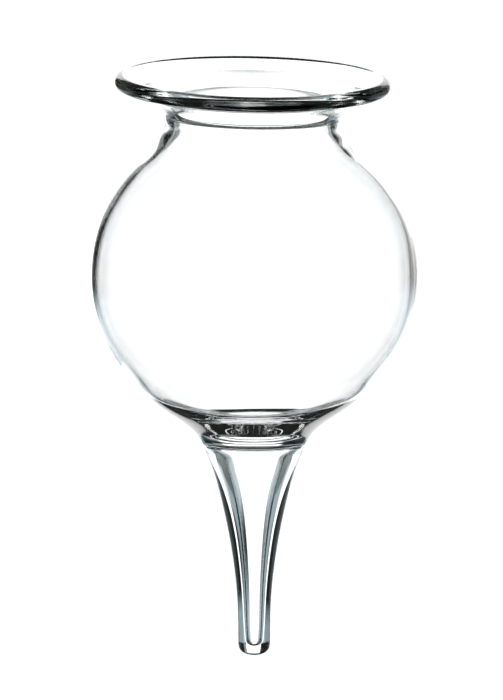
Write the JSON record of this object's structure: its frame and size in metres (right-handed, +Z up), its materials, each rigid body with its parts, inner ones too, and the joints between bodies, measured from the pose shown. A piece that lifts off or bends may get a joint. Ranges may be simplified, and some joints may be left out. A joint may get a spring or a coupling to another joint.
{
  "type": "peg-stemmed storm glass",
  "caption": "Open blown-glass bulb with a narrow neck and a flared, rounded lip, on a hollow tapered stem with a sealed tip for standing it in a hole or in soil.",
  "frame": {"origin": "bottom of the stem's sealed tip, on the stem's axis", "axes": "+Z up along the stem and through the mouth; the mouth dips slightly towards +X; the front is -Y"},
  "size_m": [0.1198, 0.1198, 0.2191],
  "materials": {
    "bulb_glass": "clear, fire-polished",
    "lip_glass": "clear, fire-polished, faint green in the thick edge",
    "pad_glass": "clear, fire-polished, faint green in the thick part",
    "stem_glass": "clear, fire-polished"
  },
  "bodies": {
    "root": {"blown_bulb": "bulb_glass", "flared_lip": "lip_glass", "joint_pad": "pad_glass", "hollow_stem": "stem_glass", "sealed_tip": "stem_glass"}
  },
  "joints": []
}
